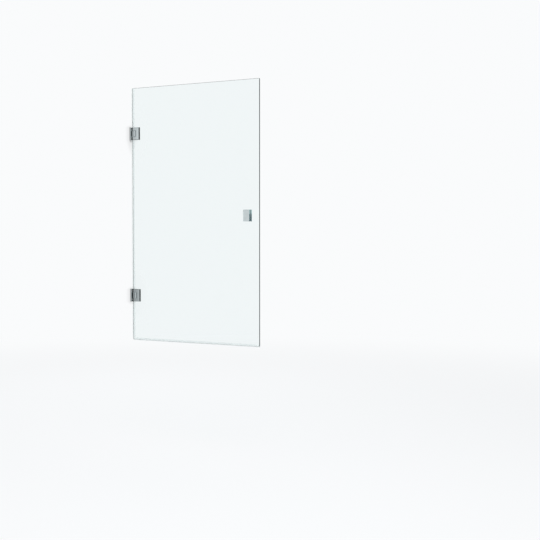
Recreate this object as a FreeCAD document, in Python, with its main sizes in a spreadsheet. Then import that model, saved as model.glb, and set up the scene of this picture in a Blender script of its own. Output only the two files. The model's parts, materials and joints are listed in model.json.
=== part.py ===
import FreeCAD, Part

import os
import re

import Sketcher

# A wall-hung bath screen: one glass pane on two double-acting hinges, with a pair of knobs.
# Frame: origin on the wall at the centre of the lower wall plate, +X away from the wall along
# the closed screen, +Y into the bath, +Z up. The pane's mid plane is Y = 0. Millimetres.

DIMENSIONS = [
    # the glass pane
    ("pane_width", 806, "width of the glass"),
    ("pane_height", 1400, "height of the glass"),
    ("pane_thick", 8, "thickness of the glass"),
    ("pane_below", 248, "glass below the lower hinge's centre"),
    ("pane_corner", 3, "radius of the pane's corners"),
    ("pane_arris", 0.6, "polished arris on every glass edge"),
    ("wall_gap", 9, "wall to the glass edge"),
    ("hinge_spacing", 900, "lower to upper hinge centre"),
    # the cut-out in the glass for each hinge, with an ear for each clamp screw
    ("cutout_wide", 30.5, "depth of the cut-out from the glass edge"),
    ("cutout_tall", 56, "height of the cut-out at the glass edge"),
    ("ear_radius", 7.2, "radius of the cut-out's two ears"),
    ("screw_rise", 20.8, "clamp screws above and below the hinge centre"),
    # the wall bracket
    ("pivot_setback", 25, "wall to the pivot axis"),
    ("plate_wide", 28, "width of the wall plate"),
    ("plate_tall", 69, "height of the wall plate"),
    ("plate_thick", 5, "thickness of the wall plate"),
    ("plate_corner", 1.5, "radius of the wall plate's corners"),
    ("plate_bevel", 1.2, "bevel round the wall plate's face"),
    ("neck_thick", 11, "thickness of the neck between plate and knuckle"),
    ("knuckle_dia", 16, "diameter of the knuckle"),
    ("knuckle_tall", 31, "height of the knuckle"),
    ("knuckle_bevel", 0.6, "bevel on the knuckle's ends"),
    # the two clamp plates of a hinge and their packing
    ("clamp_setback", 15, "wall to the clamp's back edge"),
    ("clamp_wide", 39, "width of the clamp plate"),
    ("clamp_tall", 69, "height of the clamp plate"),
    ("clamp_thick", 5, "thickness of the clamp plate"),
    ("clamp_bevel", 1.5, "bevel round the clamp's face"),
    ("notch_wide", 21.5, "depth of the clamp's notch from its back edge"),
    ("notch_tall", 33, "height of the clamp's notch"),
    ("notch_corner", 2.5, "radius of the notch's inner corners"),
    ("boss_setback", 17.5, "wall to the pin boss"),
    ("boss_clear", 1, "gap between a boss and the glass"),
    ("boss_gap", 0.15, "boss face to the pane's mid plane"),
    ("gasket_thick", 1, "thickness of the packing"),
    ("gasket_inset", 0.3, "packing set in from the clamp's edge"),
    # the pivot pin, its bushes and its detent
    ("pin_dia", 8, "diameter of the pivot pin"),
    ("pin_long", 52, "length of the pivot pin"),
    ("pin_bevel", 0.6, "bevel on the pin's ends"),
    ("pin_end_gap", 0.1, "room past each end of the pin"),
    ("detent_depth", 1, "depth of the pin's detent flat"),
    ("detent_tall", 14, "height of the pin's detent flat"),
    ("lock_depth", 0.8, "depth of the pin's locking flats"),
    ("lock_tall", 8.4, "height of each locking flat"),
    ("lock_rise", 21.5, "locking flats above and below the hinge centre"),
    ("running_gap", 0.05, "pin to bush, all round"),
    ("seat_gap", 0.02, "gap round a piece pressed or screwed into its seat"),
    ("bush_dia", 11, "outer diameter of a bush"),
    ("bush_tall", 5, "length of a bush inside the knuckle"),
    ("flange_dia", 14, "diameter of a bush's flange"),
    ("flange_thick", 0.8, "thickness of a bush's flange"),
    ("pinway_dia", 8.6, "hole through the knuckle between the bushes"),
    ("pocket_wide", 6.8, "width of the spring pocket"),
    ("pocket_tall", 20.4, "height of the spring pocket"),
    ("pocket_gap", 0.1, "gap round the retainer in its pocket"),
    ("retainer_long", 18.5, "depth of the spring retainer from the wall"),
    ("leaf_wide", 6.4, "width of the leaf spring"),
    ("leaf_tall", 19.6, "height of the leaf spring"),
    ("leaf_thick", 0.8, "thickness of the leaf spring"),
    ("leaf_radius", 21, "bow of the leaf spring"),
    ("leaf_gap", 0.05, "leaf spring to the pin's flat and to its retainer"),
    # the screws
    ("wallscrew_dia", 4.5, "diameter of a wall screw"),
    ("wallscrew_neck", 4, "plain neck of a wall screw, inside the wall plate"),
    ("wallscrew_hole", 4.8, "hole for a wall screw"),
    ("wallscrew_head", 8.6, "head of a wall screw"),
    ("wallscrew_long", 45, "length of a wall screw"),
    ("wallscrew_tip", 5, "length of a wall screw's point"),
    ("wallscrew_blunt", 0.2, "radius at the end of a wall screw's point"),
    ("recess_wide", 0.9, "width of an arm of a wall screw's cross recess"),
    ("recess_long", 4.5, "length of an arm of a wall screw's cross recess"),
    ("recess_deep", 1.5, "depth of a wall screw's cross recess"),
    ("wallscrew_span", 15, "wall screws side to side"),
    ("wallscrew_rise", 49, "wall screws bottom to top"),
    ("clampscrew_dia", 5, "diameter of a clamp screw"),
    ("clampscrew_hole", 5.5, "clearance hole for a clamp screw"),
    ("clampscrew_head", 10, "head of a clamp screw"),
    ("clampscrew_long", 16, "length of a clamp screw"),
    ("clampscrew_deep", 6.5, "threaded hole in the outer clamp, from the mid plane"),
    ("clampscrew_key", 3, "key size of a clamp screw"),
    ("clampscrew_key_deep", 2.5, "depth of a clamp screw's key socket"),
    ("head_play", 0.1, "gap between a countersunk head and its seat"),
    ("grub_dia", 4, "diameter of a grub screw"),
    ("grub_long", 6, "length of a pin grub screw"),
    ("grub_key", 2, "key size of a grub screw"),
    ("grub_sink", 0.7, "pin grub screw below the clamp's face"),
    # the knobs
    ("knob_setback", 742.5, "wall to the knob's centre"),
    ("knob_rise", 439.5, "lower hinge centre to the knob's centre"),
    ("knob_wide", 37, "width of a knob"),
    ("knob_tall", 62, "height of a knob"),
    ("knob_deep", 15, "depth of a knob"),
    ("knob_bevel", 4.5, "bevel round a knob's face"),
    ("knob_edge", 0.5, "broken edge round a knob's back"),
    ("knob_hole", 12, "hole through the glass"),
    ("pad_thick", 1, "packing under a knob"),
    ("pad_inset", 1, "packing set in from the knob's edge"),
    ("pad_hole", 6.4, "hole through the packing"),
    ("sleeve_bore", 6.2, "bore of the sleeve in the glass"),
    ("sleeve_play", 0.1, "gap between the sleeve and the glass"),
    ("stud_dia", 6, "diameter of the knob stud"),
    ("stud_outer", 14.5, "stud from the mid plane into the outer knob"),
    ("stud_inner", 14, "stud from the mid plane into the inner knob"),
    ("stud_play", 0.5, "room past each end of the stud"),
    ("nut_dia", 14, "diameter of the round nut"),
    ("nut_long", 8, "length of the round nut"),
    ("nut_play", 0.1, "gap round the nut in the inner knob"),
    ("knobgrub_long", 8, "length of the knob's grub screw"),
    # the clear seals
    ("lip_cover", 10, "seal channel over the glass"),
    ("lip_thick", 1, "wall of a seal channel"),
    ("lip_gap", 0.05, "channel to the glass"),
    ("web_thick", 1.15, "web between a channel's two walls"),
    ("side_fin", 7.4, "side seal's fin from its web to the wall"),
    ("side_clear", 36, "side seals end this far from a hinge centre"),
    ("seal_joint", 0.5, "gap between the lower side seal and the bottom seal"),
    ("blade_thick", 0.8, "thickness of the bottom seal's blade and fin"),
    ("blade_drop", 4.7, "bottom seal's blade below the glass"),
    ("fin_reach", 3.55, "deflector fin beyond the channel"),
    ("fin_drop", 4, "deflector fin below the glass"),
    ("seal_inset", 0.5, "bottom seal short of each end of the glass"),
    # a length that is more than any hole's
    ("right_through", 40, "length of a cut that goes right through a piece"),
]

ALIASES = {alias for alias, value, note in DIMENSIONS}
WORD = re.compile(r"[a-z_]+")
TOUCH = 1e-4
HALF_TURN = 180
FULL_TURN = 360
HEXAGON = 6
OUTER = 1
INNER = -1
HINGES = [("upper", "hinge_spacing"), ("lower", "0")]
BOTH = (1, -1)

os.makedirs("parts", exist_ok=True)
doc = FreeCAD.newDocument("bath_screen")
sizes = doc.addObject("Spreadsheet::Sheet", "sizes")
for row, (alias, value, note) in enumerate(DIMENSIONS, start=1):
    sizes.set(f"A{row}", note)
    sizes.set(f"B{row}", str(value))
    sizes.setAlias(f"B{row}", alias)
doc.recompute()

nodes = []


# ---------------------------------------------------------------- sums on the sheet

def bound(text):
    """The same sum with every alias pointed at the sheet."""
    def point(word):
        return "sizes." + word.group() if word.group() in ALIASES else word.group()

    return WORD.sub(point, text)


def measured(text):
    """What a sum on the sheet's aliases comes to, in millimetres."""
    return float(sizes.evalExpression(text))


# ---------------------------------------------------------------- bodies and sketches

def new_body(label, x="0", y="0", z="0", turned=None):
    """An empty body with its own place, and a half turn about an axis where one is given."""
    body = doc.addObject("PartDesign::Body", label)
    if turned:
        body.Placement = FreeCAD.Placement(FreeCAD.Vector(), FreeCAD.Rotation(turned, HALF_TURN))
    place(body, x, y, z)
    nodes.append(body)
    return body


def place(thing, x, y, z):
    """Puts a body or a primitive at three sums on the sheet."""
    for axis, text in zip("xyz", (x, y, z)):
        thing.setExpression(f"Placement.Base.{axis}", bound(text))


def new_sketch(body, role, offset="0"):
    """A sketch on one of the body's own planes, moved along that plane's normal."""
    sketch = body.newObject("Sketcher::SketchObject", f"{body.Name}_outline")
    plane = next(item for item in body.Origin.OriginFeatures if item.Role == role)
    sketch.AttachmentSupport = (plane, [""])
    sketch.MapMode = "FlatFace"
    sketch.setExpression("AttachmentOffset.Base.z", bound(offset))
    return sketch


def pin_point(sketch, element, corner, x, y):
    """Ties one point of a sketch to two sums on the sheet, measured from the sketch's origin."""
    for kind, text in (("DistanceX", x), ("DistanceY", y)):
        rule = Sketcher.Constraint(kind, -1, 1, element, corner, measured(text))
        number = sketch.addConstraint(rule)
        sketch.setExpression(f"Constraints[{number}]", bound(text))


def draw_polygon(sketch, corners):
    """A closed outline of straight lines through pairs of sums on the sheet."""
    points = [FreeCAD.Vector(measured(x), measured(y), 0) for x, y in corners]
    first = sketch.GeometryCount
    for number, start in enumerate(points):
        end = points[(number + 1) % len(points)]
        sketch.addGeometry(Part.LineSegment(start, end), False)
    for number, (x, y) in enumerate(corners):
        following = (number + 1) % len(corners)
        sketch.addConstraint(Sketcher.Constraint("Coincident", first + number, 2, first + following, 1))
        pin_point(sketch, first + number, 1, x, y)


def draw_rectangle(sketch, left, right, low, high):
    draw_polygon(sketch, [(left, low), (right, low), (right, high), (left, high)])


def draw_circle(sketch, x, y, radius):
    centre = FreeCAD.Vector(measured(x), measured(y), 0)
    ring = Part.Circle(centre, FreeCAD.Vector(0, 0, 1), measured(radius))
    element = sketch.addGeometry(ring, False)
    pin_point(sketch, element, 3, x, y)
    number = sketch.addConstraint(Sketcher.Constraint("Radius", element, measured(radius)))
    sketch.setExpression(f"Constraints[{number}]", bound(radius))


# ---------------------------------------------------------------- features

def extrude(kind, sketch, length, both_ways=False, turned_round=False):
    """A Pad or a Pocket of a sketch, in the sketch's own body."""
    body = sketch.getParentGeoFeatureGroup()
    feature = body.newObject(f"PartDesign::{kind}", f"{body.Name}_{kind.lower()}")
    feature.Profile = sketch
    feature.setExpression("Length", bound(length))
    feature.SideType = "Symmetric" if both_ways else "One side"
    feature.Reversed = turned_round
    sketch.Visibility = False
    body.Tip = feature
    return feature


def revolve(sketch):
    """A full turn of a sketch about its own vertical axis."""
    body = sketch.getParentGeoFeatureGroup()
    feature = body.newObject("PartDesign::Revolution", f"{body.Name}_revolution")
    feature.Profile = sketch
    feature.ReferenceAxis = (sketch, ["V_Axis"])
    feature.Angle = FULL_TURN
    body.Tip = feature
    return feature


def countersink(body, x, y, z, axis, head, hole):
    """A 90 degree cone cut into a face, with its wide end at one spot and its axis into the solid."""
    cone = body.newObject("PartDesign::SubtractiveCone", f"{body.Name}_countersink")
    turn = FreeCAD.Rotation(FreeCAD.Vector(0, 0, 1), FreeCAD.Vector(*axis))
    cone.Placement = FreeCAD.Placement(FreeCAD.Vector(), turn)
    place(cone, x, y, z)
    cone.setExpression("Radius1", bound(f"({head}) / 2"))
    cone.setExpression("Radius2", bound(f"({hole}) / 2"))
    cone.setExpression("Height", bound(f"(({head}) - ({hole})) / 2"))
    body.Tip = cone


def dress(kind, body, names, size):
    """A Chamfer or a Fillet on named faces or edges of the body's last feature."""
    last = body.Tip
    feature = body.newObject(f"PartDesign::{kind}", f"{body.Name}_{kind.lower()}")
    feature.Base = (last, names)
    feature.setExpression("Size" if kind == "Chamfer" else "Radius", bound(size))
    body.Tip = feature
    return feature


def span(box, axis):
    """Lowest and highest value of a bounding box along X, Y or Z."""
    return getattr(box, axis + "Min"), getattr(box, axis + "Max")


def flat_faces(body, axis, level):
    """Names of the faces of a body's last feature that lie at one level along an axis."""
    doc.recompute()
    names = []
    for number, face in enumerate(body.Tip.Shape.Faces, start=1):
        low, high = span(face.BoundBox, axis)
        if abs(low - measured(level)) < TOUCH and abs(high - measured(level)) < TOUCH:
            names.append(f"Face{number}")
    return names


def edges_along(body, axis, spots):
    """Names of the straight edges along an axis that pass through any of some spots.

    A spot gives the two other coordinates, in X, Y, Z order.
    """
    doc.recompute()
    others = [other for other in "XYZ" if other != axis]
    wanted = [[measured(text) for text in spot] for spot in spots]
    names = []
    for number, edge in enumerate(body.Tip.Shape.Edges, start=1):
        box = edge.BoundBox
        if any(span(box, other)[1] - span(box, other)[0] > TOUCH for other in others):
            continue
        here = [span(box, other)[0] for other in others]
        if any(max(abs(a - b) for a, b in zip(here, spot)) < TOUCH for spot in wanted):
            names.append(f"Edge{number}")
    return names


def round_edges(body, level, radius):
    """Names of the arcs of one radius that lie at one height."""
    doc.recompute()
    names = []
    for number, edge in enumerate(body.Tip.Shape.Edges, start=1):
        low, high = span(edge.BoundBox, "Z")
        at_level = abs(low - measured(level)) < TOUCH and abs(high - measured(level)) < TOUCH
        if at_level and abs(getattr(edge.Curve, "Radius", 0) - measured(radius)) < TOUCH:
            names.append(f"Edge{number}")
    return names


# ---------------------------------------------------------------- solids from primitives

def primitive(kind, name, x="0", y="0", z="0", axis=None, **lengths):
    """A Part primitive whose sizes and place are sums on the sheet.

    An axis turns a round primitive, which otherwise stands along +Z.
    """
    thing = doc.addObject(f"Part::{kind}", name)
    for key, text in lengths.items():
        thing.setExpression(key, bound(text))
    if axis:
        turn = FreeCAD.Rotation(FreeCAD.Vector(0, 0, 1), FreeCAD.Vector(*axis))
        thing.Placement = FreeCAD.Placement(FreeCAD.Vector(), turn)
    place(thing, x, y, z)
    return thing


def joined(name, pieces):
    thing = doc.addObject("Part::MultiFuse", name)
    thing.Shapes = pieces
    return thing


def cut(name, base, tool):
    thing = doc.addObject("Part::Cut", name)
    thing.Base = base
    thing.Tool = tool
    return thing


def as_node(thing, label):
    """Keeps a finished solid as a piece with a name of its own."""
    thing.Label = label
    nodes.append(thing)
    return thing


def as_group(label, pieces):
    """Identical separate solids that share one node."""
    group = doc.addObject("Part::Compound", label)
    group.Links = pieces
    return as_node(group, label)


def key_socket(name, x, y, z, axis, key, depth):
    """A hexagonal prism that starts at a screw's end. Its corners lie key / sqrt(3) from its axis."""
    socket = primitive("Prism", f"{name}_key", x, y, z, axis, Circumradius=f"({key}) / sqrt(3)", Height=depth)
    socket.Polygon = HEXAGON
    return socket


def grub_screw(name, x, y, z, axis, length):
    """A grub screw that starts at its keyed end and runs along the axis."""
    shank = primitive("Cylinder", f"{name}_shank", x, y, z, axis, Radius="grub_dia / 2", Height=length)
    return cut(name, shank, key_socket(name, x, y, z, axis, "grub_key", f"({length}) / 2"))


def countersunk_shank(name, x, y, z, axis, head, thread, length):
    """Head cone and plain shank of a screw that starts at the middle of its head's flat top."""
    cone = primitive("Cone", f"{name}_head", x, y, z, axis, Radius1=f"{head} / 2",
                     Radius2=f"{thread} / 2", Height=f"({head} - {thread}) / 2")
    shank = primitive("Cylinder", f"{name}_shank", x, y, z, axis, Radius=f"{thread} / 2", Height=length)
    return [cone, shank]


# ---------------------------------------------------------------- the hinge's wall side

def wall_bracket(side, level):
    """Wall plate, neck and knuckle in one piece, bored for the pin, its bushes and the spring."""
    body = new_body(f"{side}_wall_bracket", z=level)

    plate = new_sketch(body, "YZ_Plane")
    draw_rectangle(plate, "-plate_wide / 2", "plate_wide / 2", "-plate_tall / 2", "plate_tall / 2")
    extrude("Pad", plate, "plate_thick")
    corners = [(f"{a} * plate_wide / 2", f"{b} * plate_tall / 2") for a in BOTH for b in BOTH]
    dress("Fillet", body, edges_along(body, "X", corners), "plate_corner")
    dress("Chamfer", body, flat_faces(body, "X", "plate_thick"), "plate_bevel")

    neck = new_sketch(body, "XY_Plane")
    draw_rectangle(neck, "plate_thick / 2", "pivot_setback", "-neck_thick / 2", "neck_thick / 2")
    extrude("Pad", neck, "knuckle_tall", both_ways=True)
    knuckle = new_sketch(body, "XY_Plane")
    draw_circle(knuckle, "pivot_setback", "0", "knuckle_dia / 2")
    extrude("Pad", knuckle, "knuckle_tall", both_ways=True)
    ends = []
    for end in BOTH:
        ends += round_edges(body, f"{end} * knuckle_tall / 2", "knuckle_dia / 2")
    dress("Chamfer", body, ends, "knuckle_bevel")

    pinway = new_sketch(body, "XY_Plane")
    draw_circle(pinway, "pivot_setback", "0", "pinway_dia / 2")
    extrude("Pocket", pinway, "knuckle_tall", both_ways=True)
    for end in BOTH:
        seat = new_sketch(body, "XY_Plane", f"{end} * knuckle_tall / 2")
        draw_circle(seat, "pivot_setback", "0", "bush_dia / 2 + seat_gap")
        extrude("Pocket", seat, "bush_tall", turned_round=end < 0)

    pocket = new_sketch(body, "YZ_Plane")
    draw_rectangle(pocket, "-pocket_wide / 2", "pocket_wide / 2", "-pocket_tall / 2", "pocket_tall / 2")
    extrude("Pocket", pocket, "pivot_setback - pin_dia / 2 + detent_depth", turned_round=True)

    spots = []
    for across in BOTH:
        for up in BOTH:
            spots.append((f"{across} * wallscrew_span / 2", f"{up} * wallscrew_rise / 2"))
    holes = new_sketch(body, "YZ_Plane", "plate_thick")
    for y, z in spots:
        draw_circle(holes, y, z, "wallscrew_hole / 2")
    extrude("Pocket", holes, "right_through")
    for y, z in spots:
        countersink(body, "plate_thick", y, z, (-1, 0, 0), "wallscrew_head + head_play", "wallscrew_hole")


def wall_screws(side, level):
    """Four countersunk screws, driven along -X."""
    screws = []
    for across in BOTH:
        for up in BOTH:
            name = f"{side}_wall_screw_{len(screws) + 1}"
            y = f"{across} * wallscrew_span / 2"
            z = f"{level} + {up} * wallscrew_rise / 2"
            screws.append(wall_screw(name, y, z))
    as_group(f"{side}_wall_screws", screws)


def wall_screw(name, y, z):
    """One screw with a countersunk head, a cross recess, a plain neck, a thread and a point."""
    into_wall = (-1, 0, 0)
    solids = countersunk_shank(name, "plate_thick", y, z, into_wall, "wallscrew_head",
                               "wallscrew_neck", "plate_thick")
    start = "plate_thick - wallscrew_long + wallscrew_tip"
    solids.append(primitive("Cylinder", f"{name}_thread", "0", y, z, into_wall,
                            Radius="wallscrew_dia / 2", Height=f"-({start})"))
    solids.append(primitive("Cone", f"{name}_point", start, y, z, into_wall,
                            Radius1="wallscrew_dia / 2", Radius2="wallscrew_blunt",
                            Height="wallscrew_tip"))
    shapes = [("level", "recess_long", "recess_wide"), ("upright", "recess_wide", "recess_long")]
    arms = []
    for arm, wide, tall in shapes:
        arms.append(primitive("Box", f"{name}_{arm}", "plate_thick - recess_deep", f"{y} - {wide} / 2",
                              f"{z} - {tall} / 2", Length="2 * recess_deep", Width=wide, Height=tall))
    return cut(name, joined(f"{name}_blank", solids), joined(f"{name}_recess", arms))


def detent(side, level):
    """The leaf spring bowed against the pin's flat, and the block that backs it."""
    retainer = primitive("Box", f"{side}_spring_retainer", "0", "-pocket_wide / 2 + pocket_gap",
                         f"{level} - pocket_tall / 2 + pocket_gap", Length="retainer_long",
                         Width="pocket_wide - 2 * pocket_gap", Height="pocket_tall - 2 * pocket_gap")
    as_node(retainer, f"{side}_spring_retainer")

    middle = "pivot_setback - pin_dia / 2 + detent_depth - leaf_gap - leaf_radius"
    rings = []
    for name, radius in (("front", "leaf_radius"), ("back", "leaf_radius - leaf_thick")):
        rings.append(primitive("Cylinder", f"{side}_leaf_{name}", middle, "-leaf_wide / 2", level,
                               (0, 1, 0), Radius=radius, Height="leaf_wide"))
    window = primitive("Box", f"{side}_leaf_window", "retainer_long + leaf_gap", "-leaf_wide",
                       f"{level} - leaf_tall / 2", Length="pin_dia", Width="2 * leaf_wide",
                       Height="leaf_tall")
    leaf = doc.addObject("Part::Common", f"{side}_detent_spring")
    leaf.Base = cut(f"{side}_leaf_ring", *rings)
    leaf.Tool = window
    as_node(leaf, f"{side}_detent_spring")


def bushes(side, level):
    """Two flanged bushes. The bottom one is the top one turned over."""
    for name, turned in (("top", None), ("bottom", FreeCAD.Vector(1, 0, 0))):
        body = new_body(f"{side}_{name}_bush", x="pivot_setback", z=level, turned=turned)
        profile = new_sketch(body, "XZ_Plane")
        draw_polygon(profile, [
            ("pin_dia / 2 + running_gap", "knuckle_tall / 2 - bush_tall"),
            ("bush_dia / 2", "knuckle_tall / 2 - bush_tall"),
            ("bush_dia / 2", "knuckle_tall / 2"),
            ("flange_dia / 2", "knuckle_tall / 2"),
            ("flange_dia / 2", "knuckle_tall / 2 + flange_thick"),
            ("pin_dia / 2 + running_gap", "knuckle_tall / 2 + flange_thick"),
        ])
        revolve(profile)


# ---------------------------------------------------------------- the hinge's glass side

def pivot_pin(side, level):
    """Round pin with one flat for the detent and two for the grub screws."""
    body = new_body(f"{side}_pivot_pin", x="pivot_setback", z=level)
    section = new_sketch(body, "XY_Plane")
    draw_circle(section, "0", "0", "pin_dia / 2")
    extrude("Pad", section, "pin_long", both_ways=True)
    ends = flat_faces(body, "Z", "pin_long / 2") + flat_faces(body, "Z", "-pin_long / 2")
    dress("Chamfer", body, ends, "pin_bevel")
    detent_flat = new_sketch(body, "XZ_Plane")
    draw_rectangle(detent_flat, "-pin_dia", "-pin_dia / 2 + detent_depth", "-detent_tall / 2",
                   "detent_tall / 2")
    extrude("Pocket", detent_flat, "right_through", both_ways=True)
    locks = new_sketch(body, "YZ_Plane")
    for up in BOTH:
        middle = f"{up} * lock_rise"
        draw_rectangle(locks, "pin_dia / 2 - lock_depth", "pin_dia", f"{middle} - lock_tall / 2",
                       f"{middle} + lock_tall / 2")
    extrude("Pocket", locks, "right_through", both_ways=True)


def clamp(side, name, level, face):
    """One C-shaped bevelled clamp plate with bosses that grip the pin and take the screws.

    face is OUTER for the room side and INNER for the bath side.
    """
    body = new_body(f"{side}_{name}_clamp", z=level)
    inside = "pane_thick / 2 + gasket_thick"
    outside = f"{inside} + clamp_thick"

    plate = new_sketch(body, "XZ_Plane", f"{face} * ({inside})")
    draw_rectangle(plate, "clamp_setback", "clamp_setback + clamp_wide", "-clamp_tall / 2",
                   "clamp_tall / 2")
    extrude("Pad", plate, "clamp_thick", turned_round=face == INNER)

    notch_end = "clamp_setback + notch_wide"
    notch = ("clamp_setback - clamp_bevel", notch_end, "-notch_tall / 2", "notch_tall / 2")
    mouth = new_sketch(body, "XZ_Plane")
    draw_rectangle(mouth, *notch)
    extrude("Pocket", mouth, "right_through", both_ways=True)
    nooks = [(notch_end, f"{up} * notch_tall / 2") for up in BOTH]
    dress("Fillet", body, edges_along(body, "Y", nooks), "notch_corner")
    dress("Chamfer", body, flat_faces(body, "Y", f"{-face} * ({outside})"), "clamp_bevel")

    bosses = new_sketch(body, "XZ_Plane", f"{face} * boss_gap")
    posts = new_sketch(body, "XZ_Plane", f"{face} * boss_gap")
    for up in BOTH:
        near = f"{up} * notch_tall / 2"
        far = f"{up} * (cutout_tall / 2 - boss_clear)"
        low, high = (near, far) if up > 0 else (far, near)
        draw_rectangle(bosses, "boss_setback", "wall_gap + cutout_wide - boss_clear", low, high)
        draw_circle(posts, "wall_gap + cutout_wide", f"{up} * screw_rise", "ear_radius - boss_clear")
    for outline in (bosses, posts):
        extrude("Pad", outline, f"{inside} - boss_gap", turned_round=face == INNER)
    throat = new_sketch(body, "XZ_Plane")
    draw_rectangle(throat, *notch)
    extrude("Pocket", throat, f"2 * ({inside})", both_ways=True)

    groove = new_sketch(body, "XY_Plane")
    draw_circle(groove, "pivot_setback", "0", "pin_dia / 2 + seat_gap")
    extrude("Pocket", groove, "pin_long + 2 * pin_end_gap", both_ways=True)

    screw_line = "wall_gap + cutout_wide"
    if face == OUTER:
        threads = new_sketch(body, "XZ_Plane")
        for up in BOTH:
            draw_circle(threads, screw_line, f"{up} * screw_rise", "clampscrew_dia / 2 + seat_gap")
        extrude("Pocket", threads, "clampscrew_deep", turned_round=True)
        return
    heads = new_sketch(body, "XZ_Plane", f"{face} * ({outside})")
    grubs = new_sketch(body, "XZ_Plane", f"{face} * ({outside})")
    for up in BOTH:
        draw_circle(heads, screw_line, f"{up} * screw_rise", "clampscrew_hole / 2")
        draw_circle(grubs, "pivot_setback", f"{up} * lock_rise", "grub_dia / 2 + seat_gap")
    extrude("Pocket", grubs, f"{outside} - pin_dia / 4", turned_round=True)
    extrude("Pocket", heads, outside, turned_round=True)
    for up in BOTH:
        countersink(body, screw_line, outside, f"{up} * screw_rise", (0, -1, 0),
                    "clampscrew_head + head_play", "clampscrew_hole")


def gasket(side, name, level, face):
    """Thin packing between clamp and glass, cut away like the glass."""
    body = new_body(f"{side}_{name}_gasket", z=level)
    sheet = new_sketch(body, "XZ_Plane", f"{face} * pane_thick / 2")
    draw_rectangle(sheet, "clamp_setback + gasket_inset", "clamp_setback + clamp_wide - gasket_inset",
                   "-clamp_tall / 2 + gasket_inset", "clamp_tall / 2 - gasket_inset")
    extrude("Pad", sheet, "gasket_thick", turned_round=face == INNER)
    hinge_cutout(body, ["0"])


def hinge_cutout(body, levels):
    """Cuts a hinge's mouth and its two ears through a body at each of some levels."""
    mouths = new_sketch(body, "XZ_Plane")
    ears = new_sketch(body, "XZ_Plane")
    for level in levels:
        draw_rectangle(mouths, "wall_gap - cutout_wide", "wall_gap + cutout_wide",
                       f"{level} - cutout_tall / 2", f"{level} + cutout_tall / 2")
        for up in BOTH:
            draw_circle(ears, "wall_gap + cutout_wide", f"{level} + {up} * screw_rise", "ear_radius")
    for outline in (mouths, ears):
        extrude("Pocket", outline, "right_through", both_ways=True)


def clamp_screws(side, level):
    """Two countersunk screws with a hexagon socket, driven along -Y."""
    screws = []
    for up in BOTH:
        name = f"{side}_clamp_screw_{len(screws) + 1}"
        x = "wall_gap + cutout_wide"
        y = "pane_thick / 2 + gasket_thick + clamp_thick"
        z = f"{level} + {up} * screw_rise"
        outwards = (0, -1, 0)
        solids = countersunk_shank(name, x, y, z, outwards, "clampscrew_head", "clampscrew_dia",
                                   "clampscrew_long")
        key = key_socket(name, x, y, z, outwards, "clampscrew_key", "clampscrew_key_deep")
        screws.append(cut(name, joined(f"{name}_blank", solids), key))
    as_group(f"{side}_clamp_screws", screws)


def pin_grub_screws(side, level):
    """Two grub screws that press on the pin's locking flats from the bath side."""
    y = "pane_thick / 2 + gasket_thick + clamp_thick - grub_sink"
    screws = []
    for up in BOTH:
        name = f"{side}_pin_grub_{len(screws) + 1}"
        z = f"{level} + {up} * lock_rise"
        screws.append(grub_screw(name, "pivot_setback", y, z, (0, -1, 0), "grub_long"))
    as_group(f"{side}_pin_grub_screws", screws)


# ---------------------------------------------------------------- glass and seals

def glass_pane():
    """The pane, with a cut-out for each hinge, a hole for the knobs and polished edges."""
    body = new_body("glass_pane")
    low = "-pane_below"
    high = "pane_height - pane_below"
    outline = new_sketch(body, "XZ_Plane")
    draw_rectangle(outline, "wall_gap", "wall_gap + pane_width", low, high)
    extrude("Pad", outline, "pane_thick", both_ways=True)
    corners = [(x, z) for x in ("wall_gap", "wall_gap + pane_width") for z in (low, high)]
    dress("Fillet", body, edges_along(body, "Y", corners), "pane_corner")
    hinge_cutout(body, [level for side, level in HINGES])
    hole = new_sketch(body, "XZ_Plane")
    draw_circle(hole, "knob_setback", "knob_rise", "knob_hole / 2")
    extrude("Pocket", hole, "right_through", both_ways=True)
    sides = flat_faces(body, "Y", "pane_thick / 2") + flat_faces(body, "Y", "-pane_thick / 2")
    dress("Chamfer", body, sides, "pane_arris")


def bottom_seal():
    """Channel over the glass's lower edge, with a wiper blade and a fin that sheds into the bath.

    The fin slopes at about 45 degrees, so its thickness over sqrt(2) is its step each way.
    """
    body = new_body("bottom_seal", z="-pane_below")
    inner = "pane_thick / 2 + lip_gap"
    outer = f"{inner} + lip_thick"
    web = "-lip_gap - web_thick"
    half = "blade_thick / 2"
    step = "blade_thick / sqrt(2)"
    profile = new_sketch(body, "YZ_Plane", "wall_gap + seal_inset")
    draw_polygon(profile, [
        (f"-({outer})", "lip_cover"),
        (f"-({inner})", "lip_cover"),
        (f"-({inner})", "-lip_gap"),
        (inner, "-lip_gap"),
        (inner, "lip_cover"),
        (outer, "lip_cover"),
        (outer, "-blade_thick / 2"),
        (f"{outer} + fin_reach", "-fin_drop"),
        (f"{outer} + fin_reach - {step}", f"-fin_drop - {step}"),
        (f"{outer} - blade_thick", web),
        (half, web),
        (half, "-blade_drop"),
        (f"-{half}", "-blade_drop"),
        (f"-{half}", web),
        (f"-({outer})", web),
    ])
    extrude("Pad", profile, "pane_width - 2 * seal_inset")


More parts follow.
